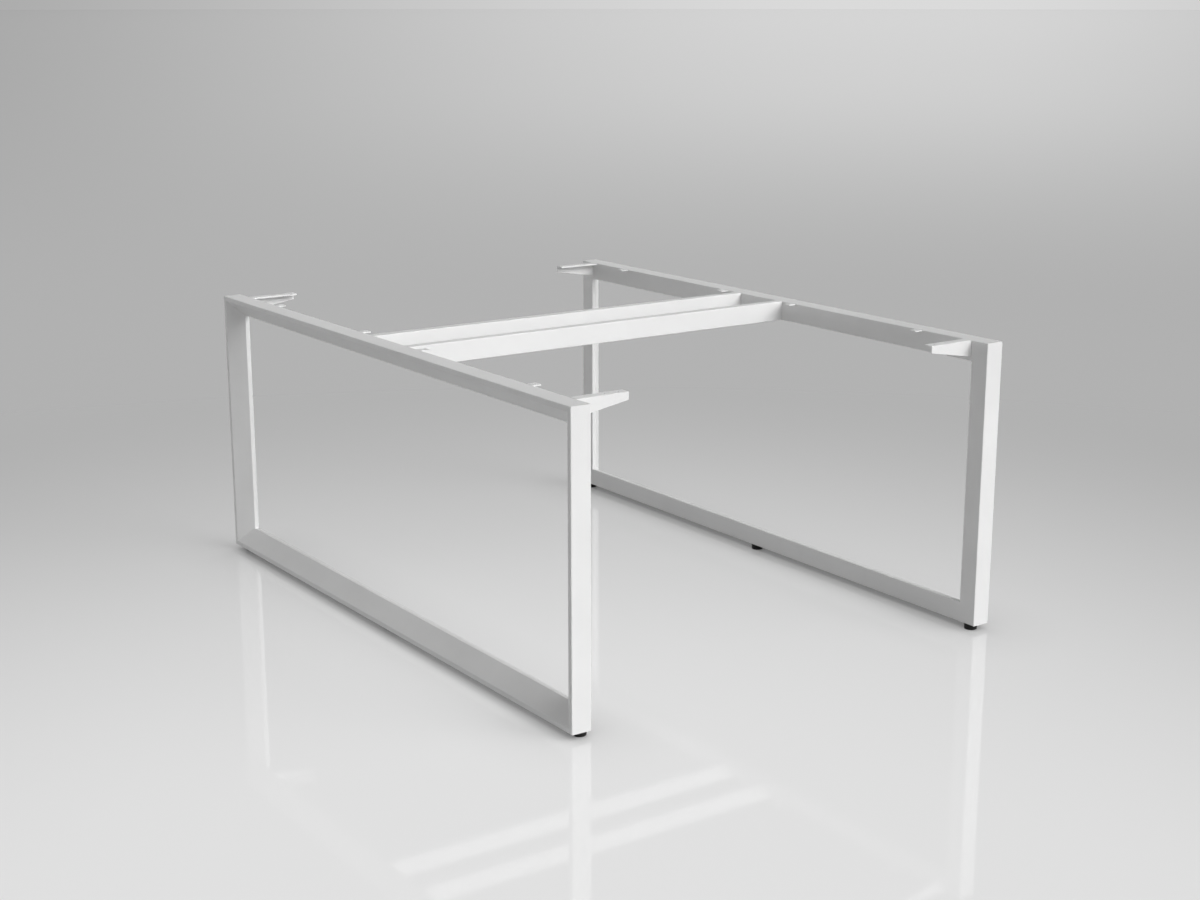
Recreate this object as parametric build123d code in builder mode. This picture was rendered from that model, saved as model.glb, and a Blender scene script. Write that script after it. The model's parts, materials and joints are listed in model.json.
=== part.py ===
from build123d import *
import os

# A bench desk frame: two closed loop legs of steel tube, two cross beams between them,
# brackets and tabs that a desktop is screwed to, and levelling feet under the loops.
# Millimetres, +Z up, X along the beams, Y along the loops, origin on the floor under the middle.

os.makedirs("parts", exist_ok=True)

# Overall size of the two loops
frame_width = 1235.0
frame_depth = 1682.0
loop_height = 702.5

# Loop tube: square, with one corner cut away by a slanted face between two narrow flats
tube_size = 50.0
tube_flat = 12.0
tube_wall = 1.5
tube_inside_radius = 0.5

# Cross beams: flat rectangular tube on edge, level with the top of the loops
beam_height = 50.0
beam_thickness = 25.0
beam_spacing = 172.0
beam_wall = 1.5
beam_inside_radius = 0.5

# Spigots: folded channels on the top rails that the open beam ends slide over
spigot_length = 75.0
spigot_sheet = 4.0
spigot_inside_radius = 1.0
spigot_side_fit = 0.25
spigot_top_fit = 0.5

# Screws that pull each beam end up against its spigot from below
screw_shank_radius = 3.0
screw_length = 10.0
screw_head_radius = 5.25
screw_head_height = 3.3
screw_head_chamfer = 1.5
screw_socket_radius = 2.3
screw_socket_depth = 1.8
screw_from_end = 22.0
screw_pitch = 32.0
screw_hole_clearance = 0.4
thread_clearance = 0.1

# Corner brackets: cut from rolled steel angle, a tapered web under a flat flange
bracket_reach = 131.0
bracket_flange = 25.0
bracket_root_height = 39.0
bracket_tip_height = 17.5
bracket_plate = 4.0
bracket_heel_radius = 0.8
bracket_root_radius = 3.0
bracket_inset = 52.0
bracket_tip_radius = 1.5
bracket_hole_radius = 2.75
bracket_hole_from_tip = 19.0
bracket_hole_pitch = 35.0

# Fixing tabs: small plates on the inner faces of the top rails
tab_reach = 23.0
tab_width = 20.0
tab_sheet = 3.0
tab_corner_radius = 2.5
tab_hole_radius = 3.0
tab_hole_from_rail = 12.0
outer_tab_from_loop_end = 227.0
inner_tab_from_beam = 57.0

# Levelling feet: a moulded puck on a threaded stud, wound right in
foot_height = 14.0
foot_radius = 15.5
foot_edge_chamfer = 1.5
foot_stop_gap = 0.3
foot_from_inner_face = 15.0
foot_from_loop_end = 23.6
stud_radius = 4.0
stud_length = 30.0
stud_head_radius = 7.5
stud_head_height = 5.0
stud_head_from_floor = 3.0
stud_tip_chamfer = 1.0
moulding_gap = 0.1

# Rivet nuts set in the bottom rails, which the studs screw into
nut_flange_radius = 8.0
nut_flange_thickness = 1.2
nut_barrel_radius = 5.5
nut_length = 15.0
nut_swaged_radius = 6.8
nut_hole_fit = 0.1
nut_recess_clearance = 0.6

# How far a cutting shape runs past the sheet that it cuts
cut_past = 1.0

# Faces, levels and places that several pieces share
half_width = frame_width / 2
half_depth = frame_depth / 2
rail_inner_x = half_width - tube_size
loop_bottom = foot_height
loop_top = foot_height + loop_height
post_level = (loop_bottom + loop_top) / 2
beam_y = beam_spacing / 2
beam_bottom = loop_top - beam_height
screw_xs = [rail_inner_x - screw_from_end - step * screw_pitch for step in (0, 1)]
bracket_web_y = half_depth - bracket_inset
foot_x = rail_inner_x + foot_from_inner_face
foot_y = half_depth - foot_from_loop_end
foot_places = {"front": -foot_y, "middle": 0.0, "rear": foot_y}


def write(piece, name):
    """Labels a finished piece and writes it to its own file."""
    piece.label = name
    export_step(piece, f"parts/{name}.step")


def write_both_sides(piece, name):
    """Writes a piece of the right-hand loop, and its mirror image on the left-hand loop."""
    write(piece, f"right_{name}")
    with BuildPart() as opposite:
        mirror(piece, about=Plane.YZ)
    write(opposite.part, f"left_{name}")


def write_four_corners(piece, name):
    """Writes a piece of the right-hand rear quarter, and its mirror images in the other three."""
    write_both_sides(piece, f"rear_{name}")
    with BuildPart() as opposite:
        mirror(piece, about=Plane.XZ)
    write_both_sides(opposite.part, f"front_{name}")


def loop_tube(middle, towards_centre, length):
    """One mitred side of the right-hand loop. Its perimeter face lies along middle."""
    outer_to_inner = Vector(-1, 0, 0)
    along = outer_to_inner.cross(towards_centre)
    outline = [
        (0, 0),
        (tube_size, 0),
        (tube_size, tube_size),
        (tube_size - tube_flat, tube_size),
        (0, tube_flat),
    ]
    with BuildPart() as tube:
        with BuildSketch(Plane(origin=middle, x_dir=outer_to_inner, z_dir=along)) as section:
            with BuildLine():
                Polyline(*outline, close=True)
            make_face()
            fillet(section.vertices(), tube_inside_radius + tube_wall)
            offset(amount=-tube_wall, mode=Mode.SUBTRACT)
        extrude(amount=length / 2, both=True)
        for end in (along, -along):
            mitre = Plane(origin=middle + end * (length / 2), z_dir=-(end + towards_centre))
            split(bisect_by=mitre, keep=Keep.TOP)
    return tube.part


# Loop legs: four mitred tubes each
up = Vector(0, 0, 1)
back = Vector(0, 1, 0)
top_rail = loop_tube(Vector(half_width, 0, loop_top), -up, frame_depth)
front_post = loop_tube(Vector(half_width, -half_depth, post_level), back, loop_height)
rear_post = loop_tube(Vector(half_width, half_depth, post_level), -back, loop_height)
with BuildPart() as bottom_rail:
    add(loop_tube(Vector(half_width, 0, loop_bottom), up, frame_depth))
    nut_hole_top = loop_bottom + tube_wall + cut_past
    with Locations(*[(foot_x, y, nut_hole_top) for y in foot_places.values()]):
        Hole(nut_barrel_radius + nut_hole_fit, depth=tube_wall + 2 * cut_past)
write_both_sides(top_rail, "top_rail")
write_both_sides(front_post, "front_post")
write_both_sides(rear_post, "rear_post")
write_both_sides(bottom_rail.part, "bottom_rail")

# Cross beams: they butt against the inner faces of the two top rails
with BuildPart() as rear_beam:
    with BuildSketch(Plane.YZ) as beam_section:
        with Locations((beam_y, loop_top - beam_height / 2)):
            Rectangle(beam_thickness, beam_height)
        fillet(beam_section.vertices(), beam_inside_radius + beam_wall)
        offset(amount=-beam_wall, mode=Mode.SUBTRACT)
    extrude(amount=rail_inner_x, both=True)
    screw_hole_top = beam_bottom + beam_wall + cut_past
    with Locations(*[(side * x, beam_y, screw_hole_top) for side in (-1, 1) for x in screw_xs]):
        Hole(screw_shank_radius + screw_hole_clearance, depth=beam_wall + 2 * cut_past)
with BuildPart() as front_beam:
    mirror(rear_beam.part, about=Plane.XZ)
write(rear_beam.part, "rear_beam")
write(front_beam.part, "front_beam")

# Spigots: channels open at the top, with the beams' bottom walls drawn up against their floors
spigot_width = beam_thickness - 2 * (beam_wall + spigot_side_fit)
spigot_height = beam_height - 2 * beam_wall - spigot_top_fit
spigot_bottom = beam_bottom + beam_wall
with BuildPart() as spigot:
    with BuildSketch(Plane.YZ.offset(rail_inner_x - spigot_length)) as channel:
        with Locations((beam_y, spigot_bottom + spigot_height / 2)):
            Rectangle(spigot_width, spigot_height)
        fillet(channel.vertices().group_by(Axis.Y)[0], spigot_inside_radius + spigot_sheet)
        with BuildLine():
            Polyline(
                (beam_y - spigot_width / 2 + spigot_sheet, spigot_bottom + spigot_height),
                (beam_y - spigot_width / 2 + spigot_sheet, spigot_bottom + spigot_sheet),
                (beam_y + spigot_width / 2 - spigot_sheet, spigot_bottom + spigot_sheet),
                (beam_y + spigot_width / 2 - spigot_sheet, spigot_bottom + spigot_height),
                close=True,
            )
        make_face(mode=Mode.SUBTRACT)
    extrude(amount=spigot_length)
    with Locations(*[(x, beam_y, spigot_bottom + spigot_sheet + cut_past) for x in screw_xs]):
        Hole(screw_shank_radius + thread_clearance, depth=spigot_sheet + 2 * cut_past)
write_four_corners(spigot.part, "beam_spigot")

# Beam screws: round heads with a six-sided socket, under both ends of both beams
with BuildPart() as screw:
    with BuildSketch(Plane.XY.offset(-screw_head_height)):
        Circle(screw_head_radius)
    extrude(amount=screw_head_height)
    chamfer(screw.edges().group_by(Axis.Z)[0], screw_head_chamfer)
    with BuildSketch(Plane.XY):
        Circle(screw_shank_radius)
    extrude(amount=screw_length)
    with BuildSketch(Plane.XY.offset(-screw_head_height)):
        RegularPolygon(screw_socket_radius, 6)
    extrude(amount=screw_socket_depth, mode=Mode.SUBTRACT)
with BuildPart() as beam_screws:
    for side, end in ((-1, -1), (-1, 1), (1, -1), (1, 1)):
        with Locations(*[(side * x, end * beam_y, beam_bottom) for x in screw_xs]):
            add(screw.part)
write(beam_screws.part, "beam_screws")

# Corner brackets: the web hangs from the outer edge of the flange and tapers towards the tip
with BuildPart() as bracket:
    bracket_corner = (rail_inner_x, bracket_web_y, loop_top)
    with BuildSketch(Plane(origin=bracket_corner, x_dir=(-1, 0, 0), z_dir=(0, -1, 0))):
        with BuildLine():
            Polyline(
                (0, 0),
                (bracket_reach, 0),
                (bracket_reach, bracket_tip_height),
                (0, bracket_root_height),
                close=True,
            )
        make_face()
    extrude(amount=bracket_plate)
    with BuildSketch(Plane(origin=bracket_corner, x_dir=(-1, 0, 0), z_dir=(0, 0, -1))):
        with Locations((bracket_reach / 2, -bracket_flange / 2)):
            Rectangle(bracket_reach, bracket_flange)
    extrude(amount=bracket_plate)
    lengthwise = bracket.edges().filter_by(Axis.X).group_by(Axis.Z)
    heel = lengthwise[-1].sort_by(Axis.Y)[-1]
    root = lengthwise[-2].sort_by(Axis.Y)[-1]
    flange_corner = bracket.edges().filter_by(Axis.Z).group_by(Axis.X)[0].sort_by(Axis.Y)[0]
    web_corner = bracket.edges().filter_by(Axis.Y).group_by(Axis.X)[0].sort_by(Axis.Z)[0]
    fillet(root, bracket_root_radius)
    fillet(heel, bracket_heel_radius)
    fillet([flange_corner, web_corner], bracket_tip_radius)
    tip_hole_x = rail_inner_x - bracket_reach + bracket_hole_from_tip
    flange_middle_y = bracket_web_y - bracket_flange / 2
    with Locations(*[(x, flange_middle_y, loop_top) for x in (tip_hole_x, tip_hole_x + bracket_hole_pitch)]):
        Hole(bracket_hole_radius, depth=bracket_plate + cut_past)
write_four_corners(bracket.part, "corner_bracket")

# Fixing tabs: level with the top of the rails, with two rounded corners and a screw hole
outer_tab_y = half_depth - outer_tab_from_loop_end
inner_tab_y = beam_y + inner_tab_from_beam
for tab_name, tab_y in (("outer_tab", outer_tab_y), ("inner_tab", inner_tab_y)):
    with BuildPart() as tab:
        with BuildSketch(Plane.XY.offset(loop_top)) as plate:
            with Locations((rail_inner_x - tab_reach / 2, tab_y)):
                Rectangle(tab_reach, tab_width)
            fillet(plate.vertices().group_by(Axis.X)[0], tab_corner_radius)
            with Locations((rail_inner_x - tab_hole_from_rail, tab_y)):
                Circle(tab_hole_radius, mode=Mode.SUBTRACT)
        extrude(amount=-tab_sheet)
    write_four_corners(tab.part, tab_name)

# Rivet nuts: a flange below the rail's wall, a body swaged out above it
with BuildPart() as nut:
    with BuildSketch(Plane.XZ):
        with BuildLine():
            Polyline(
                (stud_radius + thread_clearance, loop_bottom - nut_flange_thickness),
                (nut_flange_radius, loop_bottom - nut_flange_thickness),
                (nut_flange_radius, loop_bottom),
                (nut_barrel_radius, loop_bottom),
                (nut_barrel_radius, loop_bottom + tube_wall),
                (nut_swaged_radius, loop_bottom + tube_wall),
                (nut_swaged_radius, loop_bottom + nut_length),
                (stud_radius + thread_clearance, loop_bottom + nut_length),
                close=True,
            )
        make_face()
    revolve(axis=Axis.Z)

# Foot studs: a six-sided head inside the puck, and a threaded shank that ends in a chamfer
with BuildPart() as stud:
    with BuildSketch(Plane.XY.offset(stud_head_from_floor)):
        RegularPolygon(stud_head_radius, 6)
    extrude(amount=stud_head_height)
    with BuildSketch(Plane.XY.offset(stud_head_from_floor)):
        Circle(stud_radius)
    extrude(amount=stud_length)
    chamfer(stud.edges().group_by(Axis.Z)[-1], stud_tip_chamfer)

# Foot pucks: moulded round the stud's head, recessed on top to clear the rivet nut's flange
puck_top = foot_height - foot_stop_gap
puck_recess = nut_flange_thickness - foot_stop_gap + nut_recess_clearance
with BuildPart() as puck:
    with BuildSketch(Plane.XY):
        Circle(foot_radius)
    extrude(amount=puck_top)
    chamfer(puck.edges().group_by(Axis.Z)[0], foot_edge_chamfer)
    with BuildSketch(Plane.XY.offset(puck_top)):
        Circle(nut_flange_radius + nut_recess_clearance)
    extrude(amount=-puck_recess, mode=Mode.SUBTRACT)
    with BuildSketch(Plane.XY.offset(stud_head_from_floor)):
        Circle(stud_radius + moulding_gap)
    extrude(amount=puck_top, mode=Mode.SUBTRACT)
    with BuildSketch(Plane.XY.offset(stud_head_from_floor)):
        RegularPolygon(stud_head_radius + moulding_gap, 6)
    extrude(amount=stud_head_height + moulding_gap, mode=Mode.SUBTRACT)

# Feet: one of each piece at both ends and the middle of each bottom rail
for place, y in foot_places.items():
    for piece, piece_name in ((nut, "rivet_nut"), (stud, "foot_stud"), (puck, "foot_puck")):
        with BuildPart() as placed:
            with Locations((foot_x, y, 0)):
                add(piece.part)
        write_both_sides(placed.part, f"{place}_{piece_name}")
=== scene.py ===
# %% [markdown]
# A bench desk frame, dressed for a portrait. The frame is two closed loops of white steel tube,
# joined by two cross beams, with brackets and tabs for a desktop and black levelling feet.
# The CAD model already has every tube, plate and foot at its true size, so this lesson keeps those
# shapes. It gives them finishes, replaces the small pieces that the CAD leaves plain, and adds the
# weld beads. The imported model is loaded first, because every later piece takes its place from it.

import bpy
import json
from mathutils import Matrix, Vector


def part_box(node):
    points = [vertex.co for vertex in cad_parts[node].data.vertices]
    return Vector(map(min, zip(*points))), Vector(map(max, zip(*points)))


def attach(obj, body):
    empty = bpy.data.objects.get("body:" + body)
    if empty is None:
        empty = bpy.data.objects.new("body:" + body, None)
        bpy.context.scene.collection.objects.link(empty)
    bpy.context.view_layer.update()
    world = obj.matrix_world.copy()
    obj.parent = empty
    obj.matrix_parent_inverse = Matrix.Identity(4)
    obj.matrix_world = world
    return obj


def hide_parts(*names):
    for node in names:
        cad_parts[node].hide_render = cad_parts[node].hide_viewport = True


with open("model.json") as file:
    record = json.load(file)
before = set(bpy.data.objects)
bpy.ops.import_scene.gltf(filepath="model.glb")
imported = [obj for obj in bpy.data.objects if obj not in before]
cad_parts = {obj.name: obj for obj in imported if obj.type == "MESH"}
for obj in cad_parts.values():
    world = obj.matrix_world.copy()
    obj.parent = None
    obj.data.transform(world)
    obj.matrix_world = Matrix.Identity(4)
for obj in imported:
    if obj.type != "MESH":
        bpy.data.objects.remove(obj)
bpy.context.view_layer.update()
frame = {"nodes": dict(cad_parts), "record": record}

# %% [markdown]
# The camera stands where the photographer's stood. Its place was found by fitting straight edges of
# the frame to the picture, so it is written here as a position, two angles and a lens. A camera in
# Blender looks down its own -Z, so 90 degrees about X makes it level, and less than that tips it
# down. A negative turn about Z swings it from the +Y direction towards +X.

# %% Set up the camera
import math

import bpy
import bmesh
from mathutils import Matrix, Vector

camera_place = (-2.6223, -3.8076, 1.5192)
camera_swing = math.radians(34.99)
camera_dip = math.radians(13.98)
camera_lens = 55.22
sensor_width = 36.0
farthest_view = 400.0
quarter_turn = math.radians(90.0)

camera_data = bpy.data.cameras.new("portrait_camera")
camera_data.sensor_width = sensor_width
camera_data.lens = camera_lens
camera_data.clip_end = farthest_view
camera = bpy.data.objects.new("portrait_camera", camera_data)
camera.location = camera_place
camera.rotation_euler = (quarter_turn - camera_dip, 0.0, -camera_swing)
bpy.context.scene.collection.objects.link(camera)
bpy.context.scene.camera = camera
bpy.context.scene.view_settings.view_transform = "Standard"
print("camera at", camera_place, "with a lens of", camera_lens, "mm")

# %% [markdown]
# Finishes are node trees, and each is wired from the same few steps, so small helpers come first.
# One adds a node and sets the sockets that hold one plain value. One starts a finish with its shader,
# its output and the Object coordinates. The last sets the nodes out in columns, so that a finished
# tree can be read in the shader editor.

# %% Helpers that start a finish
column_width = 220
row_height = 260


def add_node(tree, kind, settings=None, **sockets):
    """Adds a node with its settings and plain socket values. An underscore stands for a space."""
    node = tree.nodes.new(kind)
    for name, value in (settings or {}).items():
        setattr(node, name, value)
    for name, value in sockets.items():
        node.inputs[name.replace("_", " ")].default_value = value
    return node


def start_finish(name):
    """A new material with only its shader and output, and the Object coordinates to read."""
    finish = bpy.data.materials.new(name)
    finish.use_nodes = True
    tree = finish.node_tree
    tree.nodes.clear()
    output = add_node(tree, "ShaderNodeOutputMaterial")
    shader = add_node(tree, "ShaderNodeBsdfPrincipled")
    place = add_node(tree, "ShaderNodeTexCoord")
    tree.links.new(shader.outputs["BSDF"], output.inputs["Surface"])
    return finish, tree, shader, place.outputs["Object"]


def set_out(tree):
    """Places the nodes in columns, by how many links lie between each and the output."""
    steps = {}

    def walk(node, step):
        if step > steps.get(node.name, -1):
            steps[node.name] = step
            for socket in node.inputs:
                for link in socket.links:
                    walk(link.from_node, step + 1)

    for node in tree.nodes:
        if node.type.startswith("OUTPUT"):
            walk(node, 0)
    filled = {}
    for name, step in steps.items():
        row = filled.get(step, 0)
        filled[step] = row + 1
        tree.nodes[name].location = (-column_width * step, -row_height * row)


print("helpers that start a finish are ready")

# %% [markdown]
# A finish is mostly noise, used in a few ways. Patterns read Object coordinates, which are metres
# here, so a noise scale of 500 means a grain of about two millimetres on every piece, whatever its
# size. Noise stays near a half, so it is stretched to the range that a socket needs. It can also
# blend two colours, or be the height of a bump.

# %% Helpers for patterns


def grain(tree, place, scale, detail=2.0):
    """Noise of one grain size, read in metres."""
    node = add_node(tree, "ShaderNodeTexNoise", Scale=scale, Detail=detail, Roughness=0.5)
    tree.links.new(place, node.inputs["Vector"])
    return node.outputs["Fac"]


def spread(tree, value, low, high, start=0.25, end=0.75):
    """Stretches a value that runs from start to end over the range that a socket needs."""
    node = add_node(
        tree, "ShaderNodeMapRange", From_Min=start, From_Max=end, To_Min=low, To_Max=high,
    )
    tree.links.new(value, node.inputs["Value"])
    return node.outputs["Result"]


def tint(tree, value, dark, light, start=0.3, end=0.7):
    """Blends two colours as a value runs from start to end."""
    node = add_node(tree, "ShaderNodeValToRGB")
    for stop, position, colour in zip(node.color_ramp.elements, (start, end), (dark, light)):
        stop.position = position
        stop.color = (*colour, 1.0)
    tree.links.new(value, node.inputs["Fac"])
    return node.outputs["Color"]


def relief(tree, height, strength, depth, under=None):
    """A bump step of a depth in metres, which may sit on top of another one."""
    node = add_node(tree, "ShaderNodeBump", Strength=strength, Distance=depth)
    tree.links.new(height, node.inputs["Height"])
    if under is not None:
        tree.links.new(under, node.inputs["Normal"])
    return node.outputs["Normal"]


def wire(tree, shader, colour, roughness, normal):
    """Links the three patterns of a finish to its shader."""
    tree.links.new(colour, shader.inputs["Base Color"])
    tree.links.new(roughness, shader.inputs["Roughness"])
    tree.links.new(normal, shader.inputs["Normal"])


print("helpers for patterns are ready")

# %% [markdown]
# White powder coat covers every tube and plate. It is sprayed on dry and melted in an oven, which
# leaves a faint orange-peel swell a few millimetres across and a much finer grain. Both are bump,
# because they are far too shallow for geometry. The gloss is low and drifts a little from place to
# place, and so does the white, where the film is thicker or thinner.

# %% White powder coat
coat_dark = (0.800, 0.800, 0.798)
coat_light = (0.845, 0.845, 0.843)
film_scale = 5.0
film_detail = 3.0
sheen_scale = 35.0
sheen_range = (0.36, 0.46)
swell_scale = 240.0
swell_relief = (0.30, 0.0004)
powder_scale = 1500.0
powder_relief = (0.60, 0.0001)


def powder_coat(name):
    """Semi-matte white coat. Gives back the material, its tree, its shader and its place socket."""
    finish, tree, shader, place = start_finish(name)
    film = tint(tree, grain(tree, place, film_scale, film_detail), coat_dark, coat_light)
    sheen = spread(tree, grain(tree, place, sheen_scale), *sheen_range)
    swell = relief(tree, grain(tree, place, swell_scale), *swell_relief)
    powder = relief(tree, grain(tree, place, powder_scale), *powder_relief, swell)
    wire(tree, shader, film, sheen, powder)
    return finish, tree, shader, place


plate_coat = powder_coat("white_powder_coat")[0]
set_out(plate_coat.node_tree)
print("made", plate_coat.name, "of", len(plate_coat.node_tree.nodes), "nodes")

# %% [markdown]
# The loop tubes take the same coat, with one thing more. Their corners are mitred, welded and ground
# flush, and a trace of the joint stays visible under the coat as a hairline. On a mitre the distance
# in from the end of the loop equals the distance in from its top or bottom, so the difference of the
# two is zero just along the joint. A few math nodes turn that into a thin ridge of bump, which fades
# out within a millimetre.

# %% Powder coat with the mitre lines of the loops
loop_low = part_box("left_bottom_rail")[0]
loop_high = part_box("left_top_rail")[1]
mitre_reach = 0.0009
mitre_relief = (0.25, 0.0003)


def work_out(tree, operation, first, second=0.0):
    """One math step between sockets or plain numbers."""
    node = add_node(tree, "ShaderNodeMath", {"operation": operation})
    for socket, value in zip(node.inputs, (first, second)):
        if isinstance(value, (int, float)):
            socket.default_value = value
        else:
            tree.links.new(value, socket)
    return node.outputs["Value"]


loop_coat, tree, shader, place = powder_coat("white_powder_coat_on_loops")
split = add_node(tree, "ShaderNodeSeparateXYZ")
tree.links.new(place, split.inputs["Vector"])
along = work_out(tree, "ABSOLUTE", split.outputs["Y"])
from_end = work_out(tree, "SUBTRACT", loop_high.y, along)
from_top = work_out(tree, "SUBTRACT", loop_high.z, split.outputs["Z"])
from_bottom = work_out(tree, "SUBTRACT", split.outputs["Z"], loop_low.z)
from_edge = work_out(tree, "MINIMUM", from_top, from_bottom)
off_joint = work_out(tree, "SUBTRACT", from_end, from_edge)
off_joint = work_out(tree, "ABSOLUTE", off_joint)
ridge = spread(tree, off_joint, 1.0, 0.0, 0.0, mitre_reach)
coat_normal = shader.inputs["Normal"].links[0].from_socket
tree.links.new(relief(tree, ridge, *mitre_relief, coat_normal), shader.inputs["Normal"])
set_out(tree)
print("made", loop_coat.name, "of", len(tree.nodes), "nodes")

# %% [markdown]
# The feet are black moulded plastic. The steel mould is spark-eroded, so the surface has a fine even
# grain that scatters highlights. Handling wears it a little smoother in places, so the roughness
# drifts, and the black is never quite even.

# %% Black moulded plastic
plastic_dark = (0.008, 0.008, 0.008)
plastic_light = (0.015, 0.015, 0.015)
plastic_gloss = 0.25
haze_scale = 120.0
haze_detail = 3.0
rub_scale = 220.0
rub_range = (0.46, 0.62)
eroded_scale = 2600.0
eroded_relief = (0.2, 0.0001)

black_plastic, tree, shader, place = start_finish("black_moulded_plastic")
shader.inputs["Specular IOR Level"].default_value = plastic_gloss
haze = tint(tree, grain(tree, place, haze_scale, haze_detail), plastic_dark, plastic_light)
rub = spread(tree, grain(tree, place, rub_scale), *rub_range)
eroded = relief(tree, grain(tree, place, eroded_scale), *eroded_relief)
wire(tree, shader, haze, rub, eroded)
set_out(tree)
print("made", black_plastic.name, "of", len(tree.nodes), "nodes")

# %% [markdown]
# Studs, rivet nuts and screws are zinc plated. Bright zinc is a pale metal with a slightly blue cast.
# Its crystals give a faint mottle, made here with Voronoi cells, and the plating is not evenly bright.

# %% Bright zinc plate
zinc_dark = (0.56, 0.57, 0.60)
zinc_light = (0.68, 0.69, 0.71)
crystal_scale = 900.0
dulling_scale = 300.0
dulling_range = (0.24, 0.42)
pitting_scale = 1800.0
pitting_relief = (0.08, 0.0001)

zinc_plate, tree, shader, place = start_finish("bright_zinc_plate")
shader.inputs["Metallic"].default_value = 1.0
crystals = add_node(tree, "ShaderNodeTexVoronoi", Scale=crystal_scale)
tree.links.new(place, crystals.inputs["Vector"])
mottle = tint(tree, crystals.outputs["Distance"], zinc_dark, zinc_light)
dulling = spread(tree, grain(tree, place, dulling_scale), *dulling_range)
pitting = relief(tree, grain(tree, place, pitting_scale), *pitting_relief)
wire(tree, shader, mottle, dulling, pitting)
set_out(tree)
print("made", zinc_plate.name, "of", len(tree.nodes), "nodes")

# %% [markdown]
# The record names one material slot for each node, so the finishes go on by slot. The eight tubes of
# the loops are the exception: they take the coat that has the mitre lines.

# %% Give every CAD node its finish
finish_of_slot = {
    "powder_coat": plate_coat,
    "black_plastic": black_plastic,
    "zinc_steel": zinc_plate,
}
sides = ("left", "right")
tubes = ("top_rail", "bottom_rail", "front_post", "rear_post")
loop_tubes = [f"{side}_{tube}" for side in sides for tube in tubes]
slot_of_node = {row["node"]: row["material_slot"] for row in frame["record"]["subparts"]}
for name, node in frame["nodes"].items():
    finish = loop_coat if name in loop_tubes else finish_of_slot[slot_of_node[name]]
    node.data.materials.clear()
    node.data.materials.append(finish)
print("finished", len(frame["nodes"]), "CAD nodes")

# %% [markdown]
# The small pieces come next. Each is shaped in a bmesh, in millimetres about its own middle, and then
# moved to its place, because a finished piece sits at the origin with its place in its mesh.

# %% Helpers that turn a bmesh into a piece
mm = 1000.0
seam_in_metres = 1e-6


def add_piece(name, bm, finish, body, crease=35.0):
    """An object at the origin, made from a bmesh that is already in its place in metres."""
    bmesh.ops.remove_doubles(bm, verts=bm.verts[:], dist=seam_in_metres)
    bmesh.ops.recalc_face_normals(bm, faces=bm.faces[:])
    mesh = bpy.data.meshes.new(name)
    bm.to_mesh(mesh)
    bm.free()
    mesh.shade_smooth()
    mesh.set_sharp_from_angle(angle=math.radians(crease))
    mesh.materials.append(finish)
    piece = bpy.data.objects.new(name, mesh)
    bpy.context.scene.collection.objects.link(piece)
    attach(piece, body)
    return piece


def settle(bm, centre, turn=0.0):
    """Turns a shape about the vertical, scales it from millimetres to metres and moves it."""
    turned = Matrix.Rotation(math.radians(turn), 4, "Z")
    at = Matrix.Translation(centre) @ turned @ Matrix.Scale(1.0 / mm, 4)
    bmesh.ops.transform(bm, matrix=at, verts=bm.verts[:])


print("helpers for pieces are ready")

# %% [markdown]
# Feet and studs are turned pieces, so half of a section is drawn as a few points, each a radius and
# a height, and spun about the vertical. A sharp rim is then found again by its radius and height, and
# Bevel rounds it, which is easier to change than points along an arc.

# %% Helpers for turned pieces
seam = 0.001
on_rim = 0.01
turning_steps = 72


def draw_section(bm, section):
    """An open chain of vertices and edges through points of a radius and a height."""
    corners = [bm.verts.new((radius, 0.0, height)) for radius, height in section]
    edges = [bm.edges.new(pair) for pair in zip(corners, corners[1:])]
    return corners + edges


def turned_shape(section):
    """Spins a section once about the Z axis."""
    bm = bmesh.new()
    bmesh.ops.spin(
        bm, geom=draw_section(bm, section), axis=(0, 0, 1), cent=(0, 0, 0),
        angle=math.tau, steps=turning_steps, use_merge=True,
    )
    bmesh.ops.remove_doubles(bm, verts=bm.verts[:], dist=seam)
    bmesh.ops.recalc_face_normals(bm, faces=bm.faces[:])
    return bm


def round_rim(bm, radius, height, offset, segments):
    """Bevels the edges of one circle of a turned shape."""
    def on_it(vert):
        return abs(vert.co.xy.length - radius) < on_rim and abs(vert.co.z - height) < on_rim
    rim = [edge for edge in bm.edges if on_it(edge.verts[0]) and on_it(edge.verts[1])]
    bmesh.ops.bevel(
        bm, geom=rim, offset=offset, affect="EDGES", segments=segments, profile=0.5, material=-1,
    )


print("helpers for turned pieces are ready")

# %% [markdown]
# Six levelling feet stand under the bottom rails. A real one is a black puck, moulded round the head
# of its stud, with a rounded foot edge, a thin ring to stand on and a shallow well round the stud.
# The CAD gives its radius, its height and its place.

# %% Turn the six feet
feet = [f"{side}_{spot}" for side in sides for spot in ("front", "middle", "rear")]
puck_low, puck_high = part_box(f"{feet[0]}_foot_puck")
puck_radius = (puck_high.x - puck_low.x) / 2 * mm
puck_height = (puck_high.z - puck_low.z) * mm
foot_edge = 2.0
top_edge = 0.6
ring_radius = 9.4
ring_rise = 0.6
well_radius = 8.6
well_floor = 12.2
stud_foot = 8.0
stud_hole = 4.1

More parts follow.
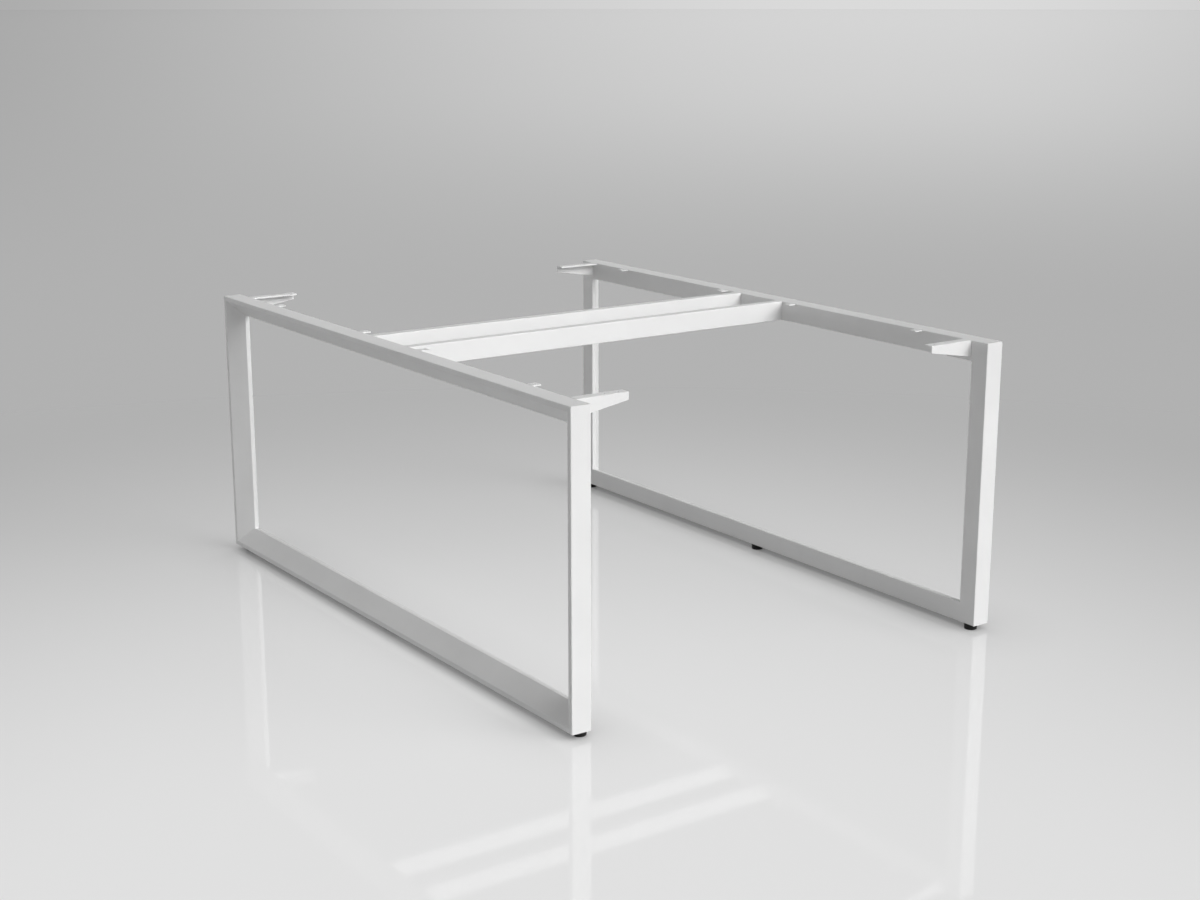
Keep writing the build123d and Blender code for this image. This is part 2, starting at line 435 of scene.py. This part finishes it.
puck_section = (
    (0.0, ring_rise), (ring_radius - ring_rise, ring_rise), (ring_radius, 0.0),
    (puck_radius, 0.0), (puck_radius, puck_height),
    (well_radius, puck_height), (well_radius, well_floor),
    (stud_hole, well_floor), (stud_hole, stud_foot), (0.0, stud_foot),
)
for foot in feet:
    node_low, node_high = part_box(f"{foot}_foot_puck")
    middle = (node_low + node_high) / 2
    bm = turned_shape(puck_section)
    round_rim(bm, puck_radius, 0.0, foot_edge, segments=5)
    round_rim(bm, puck_radius, puck_height, top_edge, segments=3)
    settle(bm, (middle.x, middle.y, node_low.z))
    puck = add_piece(f"{foot}_moulded_puck", bm, black_plastic, f"{foot}_foot")
    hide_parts(f"{foot}_foot_puck")
print("turned", len(feet), "feet of", len(puck.data.polygons), "faces")

# %% [markdown]
# Each foot hangs from an M8 stud that screws into the bottom rail, so its thread shows when the foot
# is wound out. The thread is true geometry. Spin can climb as it turns: a section of one pitch, spun
# many turns and raised by one pitch a turn, meets its own last turn, and merging doubles makes one
# continuous screw of it. It is made a little too long, two plane cuts trim it, and the cut ends are
# filled.

# %% Cut the threads of the studs
pitch = 1.25
thread_root = 3.25
thread_crest = 3.95
root_flat = 0.14
flank = 0.40
spare_turns = 2
steps_a_turn = 24
cut_tolerance = 0.0001
thread_section = (
    (thread_root, 0.0), (thread_root, root_flat), (thread_crest, root_flat + flank),
    (thread_crest, pitch - root_flat - flank), (thread_root, pitch - root_flat), (thread_root, pitch),
)


def cut(bm, at, outwards):
    """Cuts a shape on a plane through a point, and takes away what lies on its outer side."""
    everything = bm.verts[:] + bm.edges[:] + bm.faces[:]
    bmesh.ops.bisect_plane(
        bm, geom=everything, dist=cut_tolerance, plane_co=at, plane_no=outwards, clear_outer=True,
    )


for foot in feet:
    node_low, node_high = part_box(f"{foot}_foot_stud")
    middle = (node_low + node_high) / 2
    stud_top = node_high.z * mm
    turns = math.ceil((stud_top - stud_foot) / pitch) + spare_turns
    below = stud_foot - spare_turns * pitch
    bm = bmesh.new()
    section = draw_section(bm, [(radius, below + height) for radius, height in thread_section])
    bmesh.ops.spin(
        bm, geom=section, axis=(0, 0, 1), cent=(0, 0, 0), dvec=(0, 0, pitch / steps_a_turn),
        angle=math.tau * turns, steps=steps_a_turn * turns,
    )
    bmesh.ops.remove_doubles(bm, verts=bm.verts[:], dist=seam)
    cut(bm, (0, 0, stud_foot), (0, 0, -1))
    cut(bm, (0, 0, stud_top), (0, 0, 1))
    bmesh.ops.holes_fill(bm, edges=bm.edges[:], sides=0)
    settle(bm, (middle.x, middle.y, 0.0))
    stud = add_piece(f"{foot}_threaded_stud", bm, zinc_plate, f"{foot}_foot")
    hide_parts(f"{foot}_foot_stud")
print("threaded", len(feet), "studs of", turns - spare_turns, "turns")

# %% [markdown]
# Two button-head screws hold each end of each beam to the spigot inside it, from below. The CAD keeps
# them as plain heads. A real head is a low dome with a hexagon socket, so this one grows from the
# socket: a six-sided circle with its sides divided is extruded ring after ring over the dome, round
# the seat and up the shank, and the rings after the first are made round. The other way from the same
# hexagon, an extrusion makes the socket's walls, and a short cone closes its floor.

# %% Shape one beam screw
screw_low, screw_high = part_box("beam_screws")
beam_low, beam_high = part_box("front_beam")
seat = (beam_low.z - screw_low.z) * mm
shank_top = (screw_high.z - screw_low.z) * mm
head_radius = 5.25
shank_radius = 3.0
shank_chamfer = 0.6
socket_corner = 2.3
socket_cuts = 5
socket_depth = 1.8
cone_depth = 0.5
cone_tip = 0.01
tip_seam = 0.1
head_rings = (
    (3.0, 0.1), (3.9, 0.5), (4.7, 1.2), (5.1, 1.9), (head_radius, 2.6), (head_radius, seat),
    (shank_radius, seat), (shank_radius, shank_top - shank_chamfer),
    (shank_radius - shank_chamfer, shank_top),
)


def grow(bm, edges, radius, height):
    """Extrudes a ring of edges. With a radius, the new ring is made round. Gives back its edges."""
    made = bmesh.ops.extrude_edge_only(bm, edges=edges)["geom"]
    for vert in (item for item in made if isinstance(item, bmesh.types.BMVert)):
        flat = Vector((vert.co.x, vert.co.y, 0.0))
        if radius is not None:
            flat = flat.normalized() * radius
        vert.co = (flat.x, flat.y, height)
    return [item for item in made if isinstance(item, bmesh.types.BMEdge)]


def screw_shape():
    """One button-head screw in millimetres, with its socket looking down and its shank up."""
    bm = bmesh.new()
    bmesh.ops.create_circle(bm, segments=6, radius=socket_corner)
    bmesh.ops.subdivide_edges(bm, edges=bm.edges[:], cuts=socket_cuts)
    mouth = bm.edges[:]
    ring = mouth
    for radius, height in head_rings:
        ring = grow(bm, ring, radius, height)
    bmesh.ops.holes_fill(bm, edges=ring, sides=0)
    walls = grow(bm, mouth, None, socket_depth)
    tip = grow(bm, walls, cone_tip, socket_depth + cone_depth)
    tip_verts = list({vert for edge in tip for vert in edge.verts})
    bmesh.ops.remove_doubles(bm, verts=tip_verts, dist=tip_seam)
    return bm


print("screw heads", round(seat, 2), "mm high, shanks up to", round(shank_top, 2), "mm")

# %% [markdown]
# The eight screws are one node in the CAD, so they become one piece here. Screws stop at any angle
# when they are tight, so each socket is turned a little further than the one before.

# %% Place the beam screws
both = (-1.0, 1.0)
screw_spacing = 0.032
screw_turn = 25.0
outer_screw = screw_high.x - head_radius / mm
screw_reach = (outer_screw, outer_screw - screw_spacing)
beam_middle = abs(beam_low.y + beam_high.y) / 2
screw_places = [(side * x, end * beam_middle) for x in screw_reach for side in both for end in both]


def gather(bm, one):
    """Adds one finished shape to a larger bmesh."""
    loose = bpy.data.meshes.new("one_shape")
    one.to_mesh(loose)
    one.free()
    bm.from_mesh(loose)
    bpy.data.meshes.remove(loose)


bm = bmesh.new()
for number, (x, y) in enumerate(screw_places):
    one = screw_shape()
    settle(one, (x, y, screw_low.z), number * screw_turn)
    gather(bm, one)
screws = add_piece("beam_button_screws", bm, zinc_plate, "frame")
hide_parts("beam_screws")
print("placed", len(screw_places), "screws of", len(screws.data.polygons), "faces in all")

# %% [markdown]
# Brackets and tabs are welded to the rails from below, on the side that a desktop hides, and the coat
# goes over the weld. A weld bead is a row of frozen ripples in the corner of two plates. Here a ring
# is extruded along the corner in short steps, a little larger and smaller by turns, and closed at both
# ends. Two plane cuts leave only the quarter of it that stands in the open corner, sunk a little into
# both plates so that no gap shows.

# %% Shape a weld bead
ripple = 1.3
fewest_ripples = 4
ripple_sizes = (0.88, 1.0)
end_size = 0.55
bead_sides = 16
sunk = 0.15


def bead_shape(length, radius):
    """A rippled quarter bead along Y, in the corner below and to the right of the origin."""
    bm = bmesh.new()
    steps = max(fewest_ripples, round(length / ripple))
    sizes = [end_size, *(ripple_sizes[step % 2] for step in range(1, steps)), end_size]
    upright = Matrix.Rotation(quarter_turn, 4, "X") @ Matrix.Rotation(math.pi / bead_sides, 4, "Z")
    bmesh.ops.create_circle(bm, segments=bead_sides, radius=radius * end_size, matrix=upright)
    first = bm.edges[:]
    ring = first
    for last, size in zip(sizes, sizes[1:]):
        made = bmesh.ops.extrude_edge_only(bm, edges=ring)["geom"]
        new = [item for item in made if isinstance(item, bmesh.types.BMVert)]
        bmesh.ops.scale(bm, vec=(size / last, 1.0, size / last), verts=new)
        bmesh.ops.translate(bm, vec=(0.0, length / steps, 0.0), verts=new)
        ring = [item for item in made if isinstance(item, bmesh.types.BMEdge)]
    bmesh.ops.holes_fill(bm, edges=first + ring, sides=0)
    for at, outwards in (((-sunk, 0, 0), (-1, 0, 0)), ((0, 0, sunk), (0, 0, 1))):
        cut(bm, at, outwards)
        bmesh.ops.holes_fill(bm, edges=bm.edges[:], sides=0)
    bmesh.ops.translate(bm, vec=(0.0, -length / 2, 0.0), verts=bm.verts[:])
    return bm


print("bead ripples are", ripple, "mm long")

# %% [markdown]
# One bead runs under each tab, along the inner face of its rail. The bead was shaped for the left
# rail, and half a turn about the vertical makes it fit the right one.

# %% Weld the tabs
tab_bead = 2.4
end_gap = 3.0
bead_crease = 50.0
rail_face = abs(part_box("right_top_rail")[0].x)
weld_lines = {"left": (-rail_face, 0.0), "right": (rail_face, 180.0)}

bm = bmesh.new()
for side, (face, turn) in weld_lines.items():
    for tab in ("front_outer_tab", "front_inner_tab", "rear_outer_tab", "rear_inner_tab"):
        tab_low, tab_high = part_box(f"{side}_{tab}")
        bead = bead_shape((tab_high.y - tab_low.y) * mm - end_gap, tab_bead)
        settle(bead, (face, (tab_low.y + tab_high.y) / 2, tab_low.z), turn)
        gather(bm, bead)
tab_welds = add_piece("tab_weld_beads", bm, plate_coat, "frame", bead_crease)
print("tab welds:", len(tab_welds.data.polygons), "faces")

# %% [markdown]
# Each corner bracket has two such beads behind it: one across the underside of its flange, and one up
# the inner side of its web. The second is the same bead turned to stand upright, and the way it turns
# depends on which side of the web is the inner one.

# %% Weld the corner brackets
bracket_plate = 0.004
bracket_bead = 2.6
upright_gap = 5.0

bm = bmesh.new()
for side, (face, turn) in weld_lines.items():
    for end, inwards in (("front", 1.0), ("rear", -1.0)):
        low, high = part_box(f"{side}_{end}_corner_bracket")
        web_face = (low.y if end == "front" else high.y) + inwards * bracket_plate
        flange_edge = high.y if end == "front" else low.y
        underside = high.z - bracket_plate
        across = bead_shape(abs(flange_edge - web_face) * mm - end_gap, bracket_bead)
        settle(across, (face, (flange_edge + web_face) / 2, underside), turn)
        gather(bm, across)
        upright = bead_shape((underside - low.z) * mm - upright_gap, bracket_bead)
        way = inwards if side == "left" else -inwards
        stand = Matrix.Rotation(way * quarter_turn, 3, "X")
        bmesh.ops.rotate(upright, cent=(0, 0, 0), matrix=stand, verts=upright.verts[:])
        settle(upright, (face, web_face, (underside + low.z) / 2), turn)
        gather(bm, upright)
bracket_welds = add_piece("bracket_weld_beads", bm, plate_coat, "frame", bead_crease)
print("bracket welds:", len(bracket_welds.data.polygons), "faces")

# %% [markdown]
# The floor is a pale disc, so wide that its rim lies almost on the horizon, as the end of a long
# studio floor does for a low camera.

# %% Lay the studio floor
floor_radius = 168.0
floor_sides = 96

bm = bmesh.new()
bmesh.ops.create_circle(bm, cap_ends=True, cap_tris=True, segments=floor_sides, radius=floor_radius)
floor_mesh = bpy.data.meshes.new("studio_floor")
bm.to_mesh(floor_mesh)
bm.free()
floor = bpy.data.objects.new("studio_floor", floor_mesh)
bpy.context.scene.collection.objects.link(floor)
print("floor disc of", floor_radius, "m")

# %% [markdown]
# A pool of light is painted into the floor's colour: it is brightest in front of the frame, and fades
# to a mid grey behind it. The fade is a function of the distance from the middle of the pool, in
# metres on the floor itself. Two Mapping nodes turn the floor's own coordinates and squeeze them about
# that middle, so that the length of what comes out is that distance. A smooth step makes the pool.
# Further off, the painted light falls slowly, at last as one over the distance.

# %% Painted pool of light on the floor
floor_front = 0.683
floor_back = 0.397
pool_ahead = 3.0
pool_squeeze = 1.42
pool_fade = (1.8, 5.57)
far_reach = 9.09


def ease(tree, value, start, end, low, high):
    """A smooth step between two levels as a value goes from start to end."""
    node = add_node(
        tree, "ShaderNodeMapRange", {"interpolation_type": "SMOOTHSTEP"},
        From_Min=start, From_Max=end, To_Min=low, To_Max=high,
    )
    tree.links.new(value, node.inputs["Value"])
    return node.outputs["Result"]


polished, tree, shader, place = start_finish("polished_floor")
turned = add_node(tree, "ShaderNodeMapping", Rotation=(0.0, 0.0, camera_swing))
pool = add_node(
    tree, "ShaderNodeMapping", Location=(0.0, pool_ahead, 0.0), Scale=(pool_squeeze, 1.0, 0.0),
)
length = add_node(tree, "ShaderNodeVectorMath", {"operation": "LENGTH"})
tree.links.new(place, turned.inputs["Vector"])
tree.links.new(turned.outputs["Vector"], pool.inputs["Vector"])
tree.links.new(pool.outputs["Vector"], length.inputs[0])
away = length.outputs["Value"]
near_fade = ease(tree, away, *pool_fade, floor_front, floor_back)
far_fade = work_out(tree, "DIVIDE", away, far_reach)
far_fade = work_out(tree, "MULTIPLY", far_fade, far_fade)
far_fade = work_out(tree, "ADD", far_fade, 1.0)
far_fade = work_out(tree, "INVERSE_SQRT", far_fade)
# painted pool of light: brightest in front of the frame, fading behind and far off
painted_light_pool = work_out(tree, "MULTIPLY", near_fade, far_fade)
print("floor tone from", floor_front, "in the pool to", floor_back, "behind it")

# %% [markdown]
# Part of that painted light is base colour that the studio lights, and part is painted light of its
# own, an emission glow, with a painted contact shadow where the rails come close, from an Ambient
# Occlusion node. A low roughness makes it polished enough to mirror the legs and beams. The camera and
# the polished pieces see all of that. The light that the floor throws back on the frame is held lower,
# so that undersides stay shaded: Light Path tells the two apart.

# %% Painted light, painted contact shadow and polish of the floor
painted_pool_share = 0.45
painted_glow_share = 0.78
floor_bounce = 0.39
floor_roughness = 0.045
floor_ior = 1.45
contact_reach = 0.22
contact_depth = 0.85
contact_samples = 2


def seen_directly(tree):
    """One where the camera, a mirror or glass looks at something, and zero for bounced light."""
    path = add_node(tree, "ShaderNodeLightPath").outputs
    mirrored = work_out(tree, "MAXIMUM", path["Is Glossy Ray"], path["Is Transmission Ray"])
    return work_out(tree, "MAXIMUM", path["Is Camera Ray"], mirrored)


contact = add_node(
    tree, "ShaderNodeAmbientOcclusion", {"samples": contact_samples}, Distance=contact_reach,
)
# painted contact shadow: Ambient Occlusion darkens the glow where the rails come close
shade = spread(tree, contact.outputs["AO"], 1.0 - contact_depth, 1.0, 0.0, 1.0)
glow = work_out(tree, "MULTIPLY", painted_light_pool, shade)
glow = work_out(tree, "MULTIPLY", glow, painted_glow_share)
# the painted pool of light also goes into the floor's base colour
painted_pool_colour = work_out(tree, "MULTIPLY", painted_light_pool, painted_pool_share)
tree.links.new(painted_pool_colour, shader.inputs["Base Color"])
# painted light: the floor glows with the pool and its painted shadow, though it is no lamp
tree.links.new(glow, shader.inputs["Emission Color"])
shader.inputs["Emission Strength"].default_value = 1.0
shader.inputs["Roughness"].default_value = floor_roughness
shader.inputs["IOR"].default_value = floor_ior
dim = add_node(tree, "ShaderNodeBsdfDiffuse", Color=(floor_bounce, floor_bounce, floor_bounce, 1.0))

surface = shader.outputs["BSDF"].links[0].to_socket
pick = add_node(tree, "ShaderNodeMixShader")
tree.links.new(seen_directly(tree), pick.inputs["Fac"])
tree.links.new(dim.outputs["BSDF"], pick.inputs[1])
tree.links.new(shader.outputs["BSDF"], pick.inputs[2])
tree.links.new(pick.outputs["Shader"], surface)
set_out(tree)
floor_mesh.materials.append(polished)
print("made", polished.name, "of", len(tree.nodes), "nodes")

# %% [markdown]
# The light is that of a white studio: one very wide soft box, high in front on the right, a weak glow
# from the left, a second light low down behind, and the bounce from the floor. It makes the faces that
# look towards -Y the brightest, the tops a light grey and the left-hand faces a mid grey. It is soft
# enough to cast no clear shadow on the floor, and high enough to leave shade under the brackets. The
# world gives it smoothly, as a sum of a few terms of the direction. The soft box comes first: the lean
# of a direction towards it, raised to a power, fades evenly all round.

# %% Hang the soft box
soft_box_level = 7.75
soft_box_power = 12.0
soft_box_swing = math.radians(155.0)
soft_box_lift = math.radians(33.5)

world = bpy.data.worlds.new("white_studio")
bpy.context.scene.world = world
world.use_nodes = True
tree = world.node_tree
tree.nodes.clear()
facing = add_node(tree, "ShaderNodeTexCoord").outputs["Generated"]


def lean(tree, facing, direction):
    """How far a view direction leans towards a given one: one along it, zero across it."""
    node = add_node(tree, "ShaderNodeVectorMath", {"operation": "DOT_PRODUCT"})
    node.inputs[1].default_value = direction
    tree.links.new(facing, node.inputs[0])
    return node.outputs["Value"]


to_soft_box = (
    math.sin(soft_box_swing) * math.cos(soft_box_lift),
    math.cos(soft_box_swing) * math.cos(soft_box_lift),
    math.sin(soft_box_lift),
)
box_light = work_out(tree, "MAXIMUM", lean(tree, facing, to_soft_box), 0.0)
box_light = work_out(tree, "POWER", box_light, soft_box_power)
box_light = work_out(tree, "MULTIPLY", box_light, soft_box_level)
print("soft box towards", [round(v, 2) for v in to_soft_box], "at a level of", soft_box_level)

# %% [markdown]
# The rest of the studio is a little grey all round, a glow that grows towards -X, and the light low
# down behind, towards +Y. The power keeps that one narrow, so that it lifts the backs of the posts and
# beams and leaves the tops alone. A negative term overhead keeps the tops from growing too bright.

# %% Fill from the left and from behind
left_glow = 0.54
back_glow = 5.5
back_power = 4.0
studio_grey = 0.05
zenith_drop = -0.27

split = add_node(tree, "ShaderNodeSeparateXYZ")
tree.links.new(facing, split.inputs["Vector"])
to_x, to_y, to_z = (split.outputs[axis] for axis in "XYZ")
from_left = work_out(tree, "MULTIPLY", to_x, -left_glow)
from_left = work_out(tree, "MAXIMUM", from_left, 0.0)
overhead = work_out(tree, "MULTIPLY", to_z, to_z)
overhead = work_out(tree, "MULTIPLY", overhead, zenith_drop)
low_down = work_out(tree, "SUBTRACT", 1.0, to_z)
from_back = work_out(tree, "MAXIMUM", to_y, 0.0)
from_back = work_out(tree, "MULTIPLY", from_back, low_down)
from_back = work_out(tree, "POWER", from_back, back_power)
from_back = work_out(tree, "MULTIPLY", from_back, back_glow)
studio = work_out(tree, "ADD", from_left, overhead)
studio = work_out(tree, "ADD", studio, from_back)
studio = work_out(tree, "ADD", studio, studio_grey)
studio = work_out(tree, "MAXIMUM", studio, 0.0)
print("left glow", left_glow, "back glow", back_glow, "studio grey", studio_grey)

# %% [markdown]
# Beyond the floor lies a plain backdrop. It is grey, darker overhead, and has a soft glow low down, a
# little right of the middle of the portrait. Smooth steps along the sideways lean and the height of a
# direction give all three.

# %% Paint the backdrop
backdrop_grey = 0.38
backdrop_above = 0.16
backdrop_glow = 0.325
glow_rise = (-0.42, 0.152)
glow_fall = (0.183, 0.522)
glow_past = 0.3
glow_height = (0.044, 0.163)
dark_height = (0.12, 0.42)

to_right = (math.cos(camera_swing), -math.sin(camera_swing), 0.0)
rightwards = lean(tree, facing, to_right)
sideways = ease(tree, rightwards, *glow_rise, 0.0, backdrop_glow)
past_right = ease(tree, rightwards, *glow_fall, 1.0, glow_past)
sideways = work_out(tree, "MULTIPLY", sideways, past_right)
near_floor = ease(tree, to_z, *glow_height, 1.0, 0.0)
backdrop = work_out(tree, "MULTIPLY", sideways, near_floor)
overhead_fade = ease(tree, to_z, *dark_height, backdrop_grey, backdrop_above)
backdrop = work_out(tree, "ADD", backdrop, overhead_fade)
print("backdrop grey", backdrop_grey, "with a glow of", backdrop_glow)

# %% [markdown]
# The backdrop is what shows, and the studio is what lights. So the camera, mirrors and glass get the
# backdrop, and bounced light gets the studio with its soft box. The box is never seen behind the
# frame. Mirrors do see it, but only high up and held down to a limit, so that the powder coat keeps
# its soft highlights and the polished floor isn't flooded with glare in views from behind.

# %% Show the backdrop and light with the studio
mirrored_box_limit = 1.0
mirror_height = (0.1, 0.45)

lit = work_out(tree, "ADD", studio, box_light)
mirror_limit = ease(tree, to_z, *mirror_height, 0.0, mirrored_box_limit)
mirrored_box = work_out(tree, "MINIMUM", box_light, mirror_limit)
in_mirrors = add_node(tree, "ShaderNodeLightPath").outputs["Is Glossy Ray"]
mirrored_box = work_out(tree, "MULTIPLY", mirrored_box, in_mirrors)
shown = work_out(tree, "ADD", backdrop, mirrored_box)
choice = add_node(tree, "ShaderNodeMix", {"data_type": "FLOAT"})
light = add_node(tree, "ShaderNodeBackground")
output = add_node(tree, "ShaderNodeOutputWorld")
tree.links.new(seen_directly(tree), choice.inputs[0])
tree.links.new(lit, choice.inputs[2])
tree.links.new(shown, choice.inputs[3])
tree.links.new(choice.outputs[0], light.inputs["Color"])
tree.links.new(light.outputs["Background"], output.inputs["Surface"])
set_out(tree)
print("made", world.name, "of", len(tree.nodes), "nodes")

# %% [markdown]
# The last step only imports json.

# %% Import json
import json
